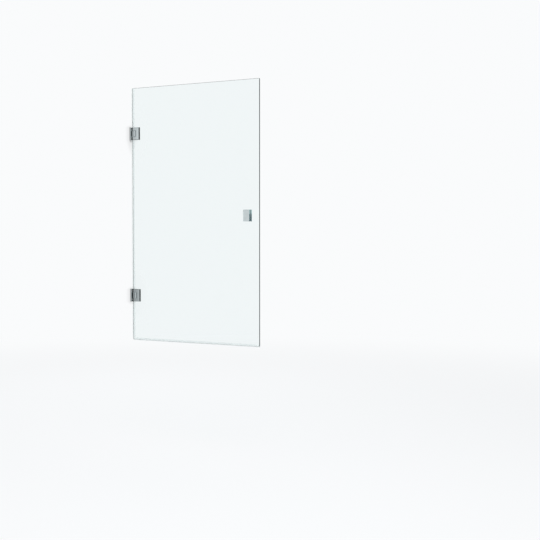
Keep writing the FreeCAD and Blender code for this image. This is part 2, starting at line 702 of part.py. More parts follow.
def side_seals():
    """Three lengths of channel on the glass's wall edge, each with a fin that meets the wall."""
    inner = "pane_thick / 2 + lip_gap"
    outer = f"{inner} + lip_thick"
    web = "wall_gap - lip_gap - web_thick"
    half = "lip_thick / 2"
    lengths = [
        ("upper", "hinge_spacing + side_clear", "pane_height - pane_below"),
        ("middle", "side_clear", "hinge_spacing - side_clear"),
        ("lower", "-pane_below + lip_cover + seal_joint", "-side_clear"),
    ]
    for name, low, high in lengths:
        body = new_body(f"{name}_side_seal")
        profile = new_sketch(body, "XY_Plane", low)
        draw_polygon(profile, [
            ("wall_gap + lip_cover", f"-({outer})"),
            ("wall_gap + lip_cover", f"-({inner})"),
            ("wall_gap - lip_gap", f"-({inner})"),
            ("wall_gap - lip_gap", inner),
            ("wall_gap + lip_cover", inner),
            ("wall_gap + lip_cover", outer),
            (web, outer),
            (web, half),
            (f"{web} - side_fin", half),
            (f"{web} - side_fin", f"-{half}"),
            (web, f"-{half}"),
            (web, f"-({outer})"),
        ])
        extrude("Pad", profile, f"{high} - ({low})")


# ---------------------------------------------------------------- the knobs

def knob_block(name, face):
    """A bevelled block that stands on its packing, without its bores."""
    body = new_body(name, x="knob_setback", z="knob_rise")
    back = "pane_thick / 2 + pad_thick"
    block = new_sketch(body, "XZ_Plane", f"{face} * ({back})")
    draw_rectangle(block, "-knob_wide / 2", "knob_wide / 2", "-knob_tall / 2", "knob_tall / 2")
    extrude("Pad", block, "knob_deep", turned_round=face == INNER)
    dress("Chamfer", body, flat_faces(body, "Y", f"{-face} * ({back} + knob_deep)"), "knob_bevel")
    dress("Chamfer", body, flat_faces(body, "Y", f"{-face} * ({back})"), "knob_edge")
    return body


def bore(body, radius, depth, face):
    """A round hole from the pane's mid plane into a knob."""
    mouth = new_sketch(body, "XZ_Plane")
    draw_circle(mouth, "0", "0", radius)
    extrude("Pocket", mouth, depth, turned_round=face == OUTER)


def knobs():
    """The outer knob takes the stud's thread. The inner one slips over the round nut."""
    outer = knob_block("outer_knob", OUTER)
    bore(outer, "stud_dia / 2 + seat_gap", "stud_outer + stud_play", OUTER)
    inner = knob_block("inner_knob", INNER)
    seat = "pane_thick / 2 + pad_thick + nut_long"
    bore(inner, "nut_dia / 2 + nut_play", f"{seat} + stud_play", INNER)
    bore(inner, "stud_dia / 2 + nut_play", "stud_inner + stud_play", INNER)
    grub = new_sketch(inner, "XY_Plane", "-knob_tall / 2")
    draw_circle(grub, "0", "pane_thick / 2 + pad_thick + nut_long / 2", "grub_dia / 2 + seat_gap")
    extrude("Pocket", grub, "knob_tall / 2", turned_round=True)


def knob_packing():
    """A thin sheet with one hole between each knob and the glass."""
    for name, face in (("outer_knob_packing", OUTER), ("inner_knob_packing", INNER)):
        body = new_body(name, x="knob_setback", z="knob_rise")
        sheet = new_sketch(body, "XZ_Plane", f"{face} * pane_thick / 2")
        draw_rectangle(sheet, "-knob_wide / 2 + pad_inset", "knob_wide / 2 - pad_inset",
                       "-knob_tall / 2 + pad_inset", "knob_tall / 2 - pad_inset")
        draw_circle(sheet, "0", "0", "pad_hole / 2")
        extrude("Pad", sheet, "pad_thick", turned_round=face == INNER)


def knob_ring(name, y, radius, bore_radius, length):
    """A plain tube along +Y on the knobs' axis."""
    spot = ("knob_setback", y, "knob_rise", (0, 1, 0))
    whole = primitive("Cylinder", f"{name}_outside", *spot, Radius=radius, Height=length)
    hollow = primitive("Cylinder", f"{name}_bore", *spot, Radius=bore_radius, Height=length)
    as_node(cut(name, whole, hollow), name)


def knob_fastening():
    """Sleeve in the glass, stud through both knobs, round nut and the grub screw that grips it."""
    knob_ring("knob_sleeve", "-pane_thick / 2 + sleeve_play", "knob_hole / 2 - sleeve_play",
              "sleeve_bore / 2", "pane_thick - 2 * sleeve_play")
    knob_ring("knob_nut", "pane_thick / 2 + pad_thick", "nut_dia / 2", "stud_dia / 2 + seat_gap",
              "nut_long")
    stud = primitive("Cylinder", "knob_stud", "knob_setback", "-stud_outer", "knob_rise", (0, 1, 0),
                     Radius="stud_dia / 2", Height="stud_outer + stud_inner")
    as_node(stud, "knob_stud")
    tip = "knob_rise - nut_dia / 2 - running_gap"
    grub = grub_screw("knob_grub_screw", "knob_setback", "pane_thick / 2 + pad_thick + nut_long / 2",
                      f"{tip} - knobgrub_long", (0, 0, 1), "knobgrub_long")
    as_node(grub, "knob_grub_screw")


# ---------------------------------------------------------------- the whole screen

for side, level in HINGES:
    wall_bracket(side, level)
    wall_screws(side, level)
    detent(side, level)
    bushes(side, level)
    pivot_pin(side, level)
    for name, face in (("outer", OUTER), ("inner", INNER)):
        clamp(side, name, level, face)
        gasket(side, name, level, face)
    clamp_screws(side, level)
    pin_grub_screws(side, level)
glass_pane()
bottom_seal()
side_seals()
knobs()
knob_packing()
knob_fastening()
doc.recompute()

# every object has to be sound, and every cut has to take something away, before a file is written
for item in doc.Objects:
    faults = {"Invalid", "Error"} & set(item.State)
    if faults:
        raise RuntimeError(f"{item.Label} is {faults}")
    if item.TypeId.startswith("PartDesign::") and not item.Shape.isValid():
        raise RuntimeError(f"{item.Label} has a faulty shape")
    if item.TypeId in ("PartDesign::Pocket", "PartDesign::SubtractiveCone"):
        if item.Shape.Volume > item.BaseFeature.Shape.Volume - TOUCH:
            raise RuntimeError(f"{item.Label} cuts nothing")

for node in nodes:
    shape = node.Shape
    if shape.isNull() or not shape.isValid() or not shape.Solids:
        raise RuntimeError(f"{node.Label} has no sound shape")
    shape.exportStep(f"parts/{node.Label}.step")
    print(f"{node.Label:24s} solids {len(shape.Solids)} volume {shape.Volume:10.1f}", end="")
    for axis in "XYZ":
        low, high = span(shape.BoundBox, axis)
        print(f" {axis} {low:8.2f} {high:8.2f}", end="")
    print()
print(len(nodes), "nodes")
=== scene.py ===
import json
import math

import bmesh
import bpy
from mathutils import Matrix, Vector


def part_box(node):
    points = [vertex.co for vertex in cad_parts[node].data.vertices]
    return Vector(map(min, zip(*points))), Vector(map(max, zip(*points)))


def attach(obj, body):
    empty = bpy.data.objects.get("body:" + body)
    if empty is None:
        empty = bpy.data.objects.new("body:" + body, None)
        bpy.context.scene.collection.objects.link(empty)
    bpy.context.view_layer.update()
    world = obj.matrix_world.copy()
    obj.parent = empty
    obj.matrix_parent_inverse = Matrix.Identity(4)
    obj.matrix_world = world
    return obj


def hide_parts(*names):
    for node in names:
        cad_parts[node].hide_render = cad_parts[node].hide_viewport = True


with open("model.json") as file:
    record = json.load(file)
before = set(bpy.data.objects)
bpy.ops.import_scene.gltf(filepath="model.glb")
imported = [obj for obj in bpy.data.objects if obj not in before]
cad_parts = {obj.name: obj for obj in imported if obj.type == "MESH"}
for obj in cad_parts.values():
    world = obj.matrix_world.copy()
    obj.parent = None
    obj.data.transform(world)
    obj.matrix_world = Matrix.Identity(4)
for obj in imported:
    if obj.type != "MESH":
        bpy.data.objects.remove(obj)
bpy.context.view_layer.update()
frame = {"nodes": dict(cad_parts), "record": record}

# A wall-hung bath screen. Lengths are in metres, as in the frame. A name that ends in _MM is in
# millimetres, and so are the screws, the stud and the nut, which are scaled as they are put in place.
MM = 0.001
TURN = 2 * math.pi
BOTH = (1, -1)
HINGE_LEVELS = {"upper": 0.9, "lower": 0.0}


# ---------------------------------------------------------------- shader sums

class Wire:
    """One output socket of a finish. A sum on it adds a Math node."""

    def __init__(self, finish, socket):
        self.finish = finish
        self.socket = socket

    def sum(self, operation, first, second):
        return self.finish.add("Math", {"operation": operation}, {0: first, 1: second})

    def __add__(self, other):
        return self.sum("ADD", self, other)

    def __radd__(self, other):
        return self.sum("ADD", other, self)

    def __sub__(self, other):
        return self.sum("SUBTRACT", self, other)

    def __rsub__(self, other):
        return self.sum("SUBTRACT", other, self)

    def __mul__(self, other):
        return self.sum("MULTIPLY", self, other)

    def __rmul__(self, other):
        return self.sum("MULTIPLY", other, self)

    def __lt__(self, other):
        return self.sum("LESS_THAN", self, other)

    def __gt__(self, other):
        return self.sum("GREATER_THAN", self, other)

    def __abs__(self):
        return self.sum("ABSOLUTE", self, 0)

    def at_least(self, other):
        return self.sum("MAXIMUM", self, other)


class Finish:
    """The nodes of one material, or of the world."""

    def __init__(self, name, owner=None):
        self.owner = owner or bpy.data.materials.new(name)
        self.owner.use_nodes = True
        self.nodes = self.owner.node_tree.nodes
        self.links = self.owner.node_tree.links
        self.nodes.clear()

    def add(self, kind, settings=None, sockets=None, out=0):
        """A node of any kind, with its settings made first and then its sockets. Gives one output."""
        node = self.nodes.new(f"ShaderNode{kind}")
        for key, value in (settings or {}).items():
            if key == "stops":
                self.put_stops(node.color_ramp, value)
            else:
                setattr(node, key, value)
        for key, value in (sockets or {}).items():
            socket = node.inputs[key]
            if isinstance(value, Wire):
                self.links.new(value.socket, socket)
            elif socket.type == "RGBA":
                socket.default_value = (*value, 1.0)
            else:
                socket.default_value = value
        return Wire(self, node.outputs[out]) if len(node.outputs) else None

    def put_stops(self, ramp, stops):
        while len(ramp.elements) < len(stops):
            ramp.elements.new(1.0)
        for element, (place, colour) in zip(ramp.elements, stops):
            element.position = place
            element.color = (*colour, 1.0)

    def mix(self, share, first, second):
        """A colour between two."""
        return self.add("Mix", {"data_type": "RGBA"}, {0: share, 6: first, 7: second}, 2)

    def mix_values(self, share, first, second):
        """A value between two."""
        return self.add("Mix", {"data_type": "FLOAT"}, {0: share, 2: first, 3: second}, 0)

    def mix_shaders(self, share, first, second):
        return self.add("MixShader", {}, {0: share, 1: first, 2: second})

    def place(self, stretch=(1, 1, 1)):
        """The place on the piece at rest, in metres, stretched along each axis."""
        here = self.add("TexCoord", out="Object")
        return self.add("VectorMath", {"operation": "MULTIPLY"}, {0: here, 1: stretch})

    def part(self, vector, axis):
        """One of a vector's three numbers, by the axis's letter."""
        return self.add("SeparateXYZ", {}, {0: vector}, axis)

    def length(self, vector):
        return self.add("VectorMath", {"operation": "LENGTH"}, {0: vector}, "Value")

    def noise(self, size, detail=2, stretch=(1, 1, 1)):
        """Soft noise from 0 to 1, with lumps of about one size in metres."""
        spots = {"Vector": self.place(stretch), "Scale": 1 / size, "Detail": detail}
        return self.add("TexNoise", {}, spots)

    def eased(self, value, low, high, start=0.0, end=1.0, shape="SMOOTHSTEP"):
        """From start to end as the value goes from low to high, smoothly or in a straight line."""
        spots = {0: value, 1: low, 2: high, 3: start, 4: end}
        return self.add("MapRange", {"interpolation_type": shape}, spots)

    def bump(self, height, depth):
        """A surface normal from heights of 0 to 1 that stand for a depth in metres."""
        return self.add("Bump", {}, {"Height": height, "Distance": depth, "Strength": 1.0})

    def ray(self, *kinds):
        """1 where the ray is of any of these kinds."""
        any_kind = 0
        for kind in kinds:
            one = self.add("LightPath", out=f"Is {kind} Ray")
            any_kind = one.at_least(any_kind)
        return any_kind

    def glow(self, colour):
        return self.add("Emission", {}, {"Color": colour, "Strength": 1.0})

    def surface(self, **sockets):
        """The Principled shader, with its sockets named in small letters."""
        def label(key):
            return key.replace("_", " ").title().replace("Ior", "IOR")

        return self.add("BsdfPrincipled", {}, {label(key): value for key, value in sockets.items()})

    def done(self, shader):
        self.add("OutputMaterial", {}, {"Surface": shader})
        return self.owner


# ---------------------------------------------------------------- finishes

CHROME = (0.585, 0.64, 0.65)
CHROME_WORN = (0.55, 0.605, 0.615)
STEEL = (0.62, 0.62, 0.61)
STEEL_DULL = (0.52, 0.52, 0.51)
BRASS = (0.78, 0.62, 0.33)
BRASS_DULL = (0.66, 0.51, 0.26)
ACETAL = (0.80, 0.80, 0.77)
ACETAL_PALE = (0.87, 0.87, 0.85)
FIBRE = (0.045, 0.047, 0.047)
FIBRE_PALE = (0.075, 0.078, 0.078)
VINYL = (0.80, 0.86, 0.86)
VINYL_PALE = (0.88, 0.92, 0.92)
GLASS = (0.912, 0.951, 0.951)
GLASS_WIPED = (0.916, 0.954, 0.954)
# painted shade on the pane's ground edges: nearly black, faintly green
GLASS_EDGE_SHADE = (0.012, 0.022, 0.020)
GLASS_EDGE_SHADE_PALE = (0.022, 0.038, 0.035)
GLASS_SHADOW = (0.93, 0.96, 0.96)
FACE_ON = 0.9  # the pane's faces are turned to +Y or -Y by more than this, and its edges by less
X, Y, Z = range(3)


def polished_chrome():
    """Bright chrome plate with faint hand marks, dried water spots and a trace of the polishing."""
    finish = Finish("polished_chrome")
    marks = finish.noise(0.018, detail=3)
    haze = finish.noise(0.004)
    spots = finish.add("TexVoronoi", {}, {"Vector": finish.place(), "Scale": 120.0}, "Distance")
    dried = finish.eased(spots, 0.10, 0.16, 1.0, 0.0) * finish.eased(haze, 0.5, 0.6)
    polish = finish.noise(0.0015, detail=1)
    colour = finish.mix(finish.eased(marks, 0.35, 0.7), CHROME, CHROME_WORN)
    gloss = 0.03 + 0.03 * finish.eased(marks, 0.4, 0.75) + 0.08 * dried
    return finish.done(finish.surface(
        base_color=colour, metallic=1.0, roughness=gloss, normal=finish.bump(polish, 0.0000012)))


def turned_metal(name, bright, dull, axis, gloss):
    """Machined metal with tool marks across its axis, about 0.25 mm apart and 10 mm long."""
    finish = Finish(name)
    stretch = [1.0, 1.0, 1.0]
    stretch[axis] = 40.0
    cuts = finish.noise(0.01, stretch=stretch)
    cloud = finish.noise(0.003)
    colour = finish.mix(finish.eased(cloud, 0.3, 0.7), bright, dull)
    return finish.done(finish.surface(
        base_color=colour, metallic=1.0, roughness=gloss - 0.06 + 0.12 * cuts,
        normal=finish.bump(cuts, 0.000012)))


def moulded_acetal():
    """Natural white bearing plastic with a fine moulded grain."""
    finish = Finish("moulded_acetal")
    grain = finish.noise(0.0006)
    cloud = finish.noise(0.004)
    return finish.done(finish.surface(
        base_color=finish.mix(cloud, ACETAL, ACETAL_PALE),
        roughness=0.38 + 0.12 * grain, normal=finish.bump(grain, 0.00002)))


def fibre_packing():
    """Black fibre sheet, mottled, with a matt felted face."""
    finish = Finish("fibre_packing")
    fibres = finish.noise(0.0008, detail=4)
    mottle = finish.noise(0.005, detail=3)
    return finish.done(finish.surface(
        base_color=finish.mix(mottle, FIBRE, FIBRE_PALE),
        roughness=0.78 + 0.15 * fibres, normal=finish.bump(fibres, 0.00008)))


def extruded_vinyl(name, axis):
    """Clear flexible vinyl with faint lines along its length."""
    finish = Finish(name)
    stretch = [1.0, 1.0, 1.0]
    stretch[axis] = 0.01
    lines = finish.noise(0.0007, stretch=stretch)
    bloom = finish.noise(0.02, detail=3)
    return finish.done(finish.surface(
        base_color=finish.mix(bloom, VINYL, VINYL_PALE),
        roughness=0.10 + 0.12 * bloom, alpha=0.16 + 0.08 * bloom, ior=1.53,
        normal=finish.bump(lines, 0.00003)))


def toughened_glass():
    """Clear float glass, faint green through its faces, with nearly black painted shade on its ground
    edges.
    """
    finish = Finish("toughened_glass")
    facing = finish.part(finish.add("TexCoord", out="Normal"), "Y")
    edge = abs(facing) < FACE_ON
    roller_wave = finish.noise(0.30, detail=0, stretch=(0.2, 1, 1))
    wiped = finish.noise(0.06, detail=3)
    pane = finish.surface(
        base_color=finish.mix(wiped, GLASS, GLASS_WIPED),
        roughness=0.004 * finish.eased(wiped, 0.5, 0.8), transmission_weight=1.0, ior=1.5,
        normal=finish.bump(roller_wave, 0.00006))
    ground = finish.noise(0.0006)
    # The ground edges are nearly black painted shade, with a faint green and a fine grain of their own.
    rim = finish.surface(
        base_color=finish.mix(ground, GLASS_EDGE_SHADE, GLASS_EDGE_SHADE_PALE),
        roughness=0.25 + 0.1 * ground, specular_ior_level=0.12, normal=finish.bump(ground, 0.00001))
    clear = finish.add("BsdfTransparent", {}, {"Color": GLASS_SHADOW})
    solid = finish.mix_shaders(edge, pane, rim)
    return finish.done(finish.mix_shaders(finish.ray("Shadow", "Diffuse"), solid, clear))


chrome = polished_chrome()
steel_x = turned_metal("turned_steel_x", STEEL, STEEL_DULL, X, 0.26)
steel_y = turned_metal("turned_steel_y", STEEL, STEEL_DULL, Y, 0.26)
steel_z = turned_metal("turned_steel_z", STEEL, STEEL_DULL, Z, 0.24)
brass = turned_metal("turned_brass", BRASS, BRASS_DULL, Y, 0.3)
acetal = moulded_acetal()
packing = fibre_packing()
upright_vinyl = extruded_vinyl("extruded_vinyl_z", Z)
level_vinyl = extruded_vinyl("extruded_vinyl_x", X)
glass = toughened_glass()

HINGE_FINISHES = {
    "wall_bracket": chrome, "spring_retainer": acetal, "detent_spring": steel_z, "top_bush": acetal,
    "bottom_bush": acetal, "pivot_pin": steel_z, "outer_clamp": chrome, "inner_clamp": chrome,
    "outer_gasket": packing, "inner_gasket": packing,
}
SCREEN_FINISHES = {
    "glass_pane": glass, "bottom_seal": level_vinyl, "upper_side_seal": upright_vinyl,
    "middle_side_seal": upright_vinyl, "lower_side_seal": upright_vinyl, "outer_knob": chrome,
    "inner_knob": chrome, "outer_knob_packing": upright_vinyl, "inner_knob_packing": upright_vinyl,
    "knob_sleeve": acetal,
}
HINGE_ROUNDING = 0.22 * MM
KNOB_ROUNDING = 0.3 * MM


def coat(node, finish):
    """Gives a CAD piece its finish."""
    for slot in frame["nodes"][node].material_slots:
        slot.material = finish


def soften(node, width):
    """Rounds the sharp edges of a CAD piece by a fraction of a millimetre."""
    piece = frame["nodes"][node]
    seams = piece.modifiers.new("seams", "WELD")
    seams.merge_threshold = 0.001 * MM
    edges = piece.modifiers.new("edges", "BEVEL")
    edges.width = width
    edges.segments = 2
    edges.limit_method = "ANGLE"
    edges.angle_limit = math.radians(25)
    flats = piece.modifiers.new("flats", "WEIGHTED_NORMAL")
    flats.mode = "FACE_AREA"
    flats.weight = 100
    flats.thresh = 0.01
    flats.keep_sharp = False


for side in HINGE_LEVELS:
    for name, finish in HINGE_FINISHES.items():
        coat(f"{side}_{name}", finish)
    for name in ("wall_bracket", "outer_clamp", "inner_clamp"):
        soften(f"{side}_{name}", HINGE_ROUNDING)
for name, finish in SCREEN_FINISHES.items():
    coat(name, finish)
for name in ("outer_knob", "inner_knob"):
    soften(name, KNOB_ROUNDING)


# ---------------------------------------------------------------- turned and threaded pieces

def as_mesh(solid, name):
    """The mesh of a solid that is finished with."""
    mesh = bpy.data.meshes.new(name)
    solid.to_mesh(mesh)
    solid.free()
    return mesh


def ring_of_points(solid, height, reach_at, segments):
    """Points all round the axis at one height, each as far out as reach_at gives for its angle."""
    ring = []
    for step in range(segments):
        angle = TURN * step / segments
        reach = reach_at(angle)
        ring.append(solid.verts.new((reach * math.cos(angle), reach * math.sin(angle), height)))
    return ring


def turned(rows, carve, segments=24, bore=0.0):
    """A closed round solid along +Z, from rows of height and radius.

    carve gives how far each point is cut in, from its height and angle. A bore goes right through.
    """
    solid = bmesh.new()
    rings = [ring_of_points(solid, height, lambda angle: radius - carve(height, angle), segments)
             for height, radius in rows]
    if bore:
        top, bottom = rows[-1][0], rows[0][0]
        rings += [ring_of_points(solid, height, lambda angle: bore, segments) for height in (top, bottom)]
        rings.append(rings[0])
    else:
        solid.faces.new(reversed(rings[0]))
        solid.faces.new(rings[-1])
    for lower, upper in zip(rings, rings[1:]):
        for step in range(segments):
            after = (step + 1) % segments
            solid.faces.new((lower[step], lower[after], upper[after], upper[step]))
    return as_mesh(solid, "blank")


def screw_thread(start, end, pitch, depth, sharpness=1.0):
    """How far a thread is cut in at a height and an angle. It fades out over a turn at each end."""
    def carve(height, angle):
        phase = (height / pitch - angle / TURN) % 1.0
        groove = min(1.0, sharpness * abs(2 * phase - 1))
        fade = max(0.0, min(1.0, (height - start) / pitch, (end - height) / pitch))
        return depth * groove * fade

    return carve


def thread_rows(start, end, pitch, radius_at):
    """Rows every eighth of a turn of a thread."""
    count = math.ceil((end - start) / pitch * 8)
    heights = [start + (end - start) * step / count for step in range(count + 1)]
    return [(height, radius_at(height)) for height in heights]


def prism(corners, depth):
    """A straight cutter from 1 mm above a screw's end down to a depth."""
    solid = bmesh.new()
    floor = solid.faces.new([solid.verts.new((x, y, depth)) for x, y in corners])
    top = bmesh.ops.extrude_face_region(solid, geom=[floor])
    raised = [item for item in top["geom"] if isinstance(item, bmesh.types.BMVert)]
    bmesh.ops.translate(solid, verts=raised, vec=(0, 0, -depth - 1))
    bmesh.ops.recalc_face_normals(solid, faces=solid.faces)
    return as_mesh(solid, "recess")


def hexagon(key):
    """Corners of a hexagon of one key size."""
    reach = key / math.sqrt(3)
    return [(reach * math.cos(TURN * step / 6), reach * math.sin(TURN * step / 6)) for step in range(6)]


def cross(wide, long):
    """Corners of a cross recess."""
    near, far = wide / 2, long / 2
    arm = [(far, -near), (far, near), (near, near)]
    corners = []
    for step in range(4):
        cos, sin = math.cos(TURN * step / 4), math.sin(TURN * step / 4)
        corners += [(x * cos - y * sin, x * sin + y * cos) for x, y in arm]
    return corners


def recessed(blank, cutter):
    """A screw's mesh with its driving recess cut out."""
    screw = bpy.data.objects.new("blank", blank)
    tool = bpy.data.objects.new("recess", cutter)
    for item in (screw, tool):
        bpy.context.scene.collection.objects.link(item)
    cut = screw.modifiers.new("recess", "BOOLEAN")
    cut.object = tool
    cut.solver = "EXACT"
    ready = screw.evaluated_get(bpy.context.evaluated_depsgraph_get())
    mesh = bpy.data.meshes.new_from_object(ready)
    for item in (screw, tool):
        bpy.data.objects.remove(item)
    return mesh


def wall_screw():
    """Countersunk head, plain neck, coarse thread and a gimlet point."""
    radius, tip_radius, pitch = 2.25, 0.2, 2.0
    neck_end, taper_start, length = 5.0, 40.0, 45.0

    def outside(height):
        if height < taper_start:
            return radius
        return radius + (tip_radius - radius) * (height - taper_start) / (length - taper_start)

    thread = screw_thread(neck_end, length + 1.5, pitch, 0.62, sharpness=1.7)
    head = [(0.0, 4.1), (0.12, 4.25), (0.5, 3.8), (2.3, 2.0), (4.9, 2.0)]
    rows = head + thread_rows(neck_end, length, pitch, outside)

    def carve(height, angle):
        return thread(height, angle) * outside(height) / radius if height >= neck_end else 0

    return recessed(turned(rows, carve), prism(cross(0.9, 4.5), 1.5))


def clamp_screw():
    """Countersunk head with a hexagon socket on a fine thread."""
    radius, neck_end, length, pitch = 2.5, 4.0, 16.0, 0.8
    thread = screw_thread(neck_end, length + 1.0, pitch, 0.42)
    head = [(0.0, 4.8), (0.15, 5.0), (0.4, 4.75), (2.5, radius), (3.9, radius)]
    rows = head + thread_rows(neck_end, length - 0.4, pitch, lambda height: radius) + [(length, 2.1)]
    return recessed(turned(rows, thread), prism(hexagon(3.0), 2.5))


def grub_screw(length):
    """Socket set screw, threaded all the way."""
    radius, pitch = 2.0, 0.7
    thread = screw_thread(0.1, length - 0.1, pitch, 0.36)
    rows = [(0.0, 1.75)] + thread_rows(0.25, length - 0.4, pitch, lambda height: radius) + [(length, 1.5)]
    return recessed(turned(rows, thread), prism(hexagon(2.0), length / 2))


def stud():
    """Studding with both ends chamfered."""
    radius, end_radius, chamfer, length, pitch = 3.0, 2.5, 0.5, 28.5, 1.0
    thread = screw_thread(-pitch, length + pitch, pitch, 0.55)
    threaded = thread_rows(chamfer, length - chamfer, pitch, lambda height: radius)
    rows = [(0.0, end_radius)] + threaded + [(length, end_radius)]
    return turned(rows, lambda height, angle: thread(height, angle) if 0 < height < length else 0)


def knurled_nut():
    """Round nut with a straight knurl, and chamfered ends."""
    radius, length = 7.0, 8.0

    def knurl(height, angle):
        return 0.22 * abs(math.sin(angle * 24)) if 0.5 < height < length - 0.5 else 0

    lower_end = [(0.0, 6.5), (0.45, 6.98), (0.55, radius)]
    upper_end = [(length - height, reach) for height, reach in reversed(lower_end)]
    return turned(lower_end + upper_end, knurl, segments=96, bore=3.02)


def start_of(node, axis):
    """Where a node's middle line along an axis starts, in millimetres, from its box."""
    place = []
    for along, low, high in zip(axis, *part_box(node)):
        start = {1: low, 0: (low + high) / 2, -1: high}[along]
        place.append(round(start / MM, 2))
    return Vector(place)


def stand_in(name, node, mesh, axis, finish, offsets_mm=((0, 0, 0),)):
    """A piece that replaces a CAD node: copies of a mesh, run along an axis from the node's start."""
    solid = bmesh.new()
    start = start_of(node, axis)
    turn = Vector(axis).to_track_quat("Z", "Y").to_matrix().to_4x4()
    for offset in offsets_mm:
        before = len(solid.verts)
        solid.from_mesh(mesh)
        solid.verts.ensure_lookup_table()
        fresh = solid.verts[before:]
        bmesh.ops.transform(solid, matrix=Matrix.Translation(start + Vector(offset)) @ turn, verts=fresh)
    bmesh.ops.scale(solid, vec=(MM, MM, MM), verts=solid.verts)
    joined = as_mesh(solid, name)
    joined.polygons.foreach_set("use_smooth", [True] * len(joined.polygons))
    joined.set_sharp_from_angle(angle=math.radians(32))
    joined.materials.append(finish)
    piece = bpy.data.objects.new(name, joined)
    bpy.context.scene.collection.objects.link(piece)
    body = next(body for body, members in frame["record"]["behaviour"]["bodies"].items() if node in members)
    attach(piece, body)
    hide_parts(node)


TO_WALL = (-1, 0, 0)
TO_FRONT = (0, -1, 0)
TO_BACK = (0, 1, 0)
UPWARDS = (0, 0, 1)
WALL_SCREW_GRID_MM = [(0, across * 7.5, up * 24.5) for across in BOTH for up in BOTH]
CLAMP_SCREW_PAIR_MM = [(0, 0, up * 20.8) for up in BOTH]
PIN_GRUB_PAIR_MM = [(0, 0, up * 21.5) for up in BOTH]

wall_screw_mesh = wall_screw()
clamp_screw_mesh = clamp_screw()
pin_grub_mesh = grub_screw(6.0)
for side in HINGE_LEVELS:
    stand_in(f"{side}_threaded_wall_screws", f"{side}_wall_screws", wall_screw_mesh, TO_WALL,
             steel_x, WALL_SCREW_GRID_MM)
    stand_in(f"{side}_threaded_clamp_screws", f"{side}_clamp_screws", clamp_screw_mesh, TO_FRONT,
             steel_y, CLAMP_SCREW_PAIR_MM)
    stand_in(f"{side}_threaded_grub_screws", f"{side}_pin_grub_screws", pin_grub_mesh, TO_FRONT,
             steel_y, PIN_GRUB_PAIR_MM)
stand_in("threaded_knob_stud", "knob_stud", stud(), TO_BACK, steel_y)
stand_in("knurled_knob_nut", "knob_nut", knurled_nut(), TO_BACK, brass)
stand_in("threaded_knob_grub", "knob_grub_screw", grub_screw(8.0), UPWARDS, steel_z)


# ---------------------------------------------------------------- floor, light and camera

BACKDROP = (0.955, 0.965, 0.973)
BLACK = (0.0, 0.0, 0.0)
FLOOR = (0.905, 0.912, 0.92)
FLOOR_PALE = (0.925, 0.932, 0.94)
FLOOR_MIDDLE = (0.41, 0.0, -0.853)
FLOOR_REACH = 30
WORLD_LIGHT = (0.98, 0.99, 1.0)
WORLD_STRENGTH = 0.79
LAMP_SIZE = 2.6
LAMP_TARGET = (0.4, 0, 0.4)
SQUARE = ((-1, -1), (1, -1), (1, 1), (-1, 1))
UNLIT = ("diffuse", "shadow", "volume_scatter")  # rays that the cards and patches are hidden from


def stage_square(name, corners, middle, finish, hidden_from=()):
    """A flat square of the stage, hidden from some kinds of ray. Its corners are given from its middle."""
    solid = bmesh.new()
    solid.faces.new([solid.verts.new(corner) for corner in corners])
    mesh = as_mesh(solid, name)
    mesh.materials.append(finish)
    square = bpy.data.objects.new(name, mesh)
    square.location = middle
    bpy.context.scene.collection.objects.link(square)
    for kind in hidden_from:
        setattr(square, f"visible_{kind}", False)
    return square


def floor():
    """A plain pale floor whose far part fades into the backdrop."""
    finish = Finish("pale_floor")
    here = finish.add("NewGeometry", out="Position")
    away = finish.add("VectorMath", {"operation": "DISTANCE"}, {0: here, 1: FLOOR_MIDDLE}, "Value")
    far = finish.eased(away, 1.6, 6.5, 0.45, 1.0)
    grain = finish.noise(0.004, detail=3)
    paint = finish.surface(
        base_color=finish.mix(grain, FLOOR, FLOOR_PALE), roughness=0.9, specular_ior_level=0.0)
    seen = finish.ray("Camera", "Glossy", "Transmission")
    material = finish.done(finish.mix_shaders(far * seen, paint, finish.glow(BACKDROP)))
    corners = [(x * FLOOR_REACH, y * FLOOR_REACH, 0) for x, y in SQUARE]
    stage_square("floor", corners, FLOOR_MIDDLE, material)


def backdrop():
    """A pale backdrop all round, and an even light."""
    world = bpy.data.worlds.new("backdrop")
    bpy.context.scene.world = world
    finish = Finish("backdrop", world)
    seen = finish.ray("Camera", "Glossy", "Transmission")
    shown = finish.add("Background", {}, {"Color": BACKDROP, "Strength": 1.0})
    light = finish.add("Background", {}, {"Color": WORLD_LIGHT, "Strength": WORLD_STRENGTH})
    finish.add("OutputWorld", {}, {"Surface": finish.mix_shaders(seen, light, shown)})


def lamp(name, place, power, colour):
    """A large soft lamp, turned to the screen, that doesn't show in the chrome."""
    light = bpy.data.lights.new(name, "AREA")
    light.shape = "DISK"
    light.size = LAMP_SIZE
    light.energy = power
    light.color = colour
    holder = bpy.data.objects.new(name, light)
    holder.location = place
    holder.rotation_euler = (Vector(LAMP_TARGET) - Vector(place)).to_track_quat("-Z", "Y").to_euler()
    for kind in ("camera", "glossy", "transmission"):
        setattr(holder, f"visible_{kind}", False)
    bpy.context.scene.collection.objects.link(holder)


# The chrome mirrors a few small glowing cards, painted reflections that give it its dark and pale fields.
CARD_TURN = 2.2
CARD_DEPTH = 0.05  # how far off its reach a card is still mirrored
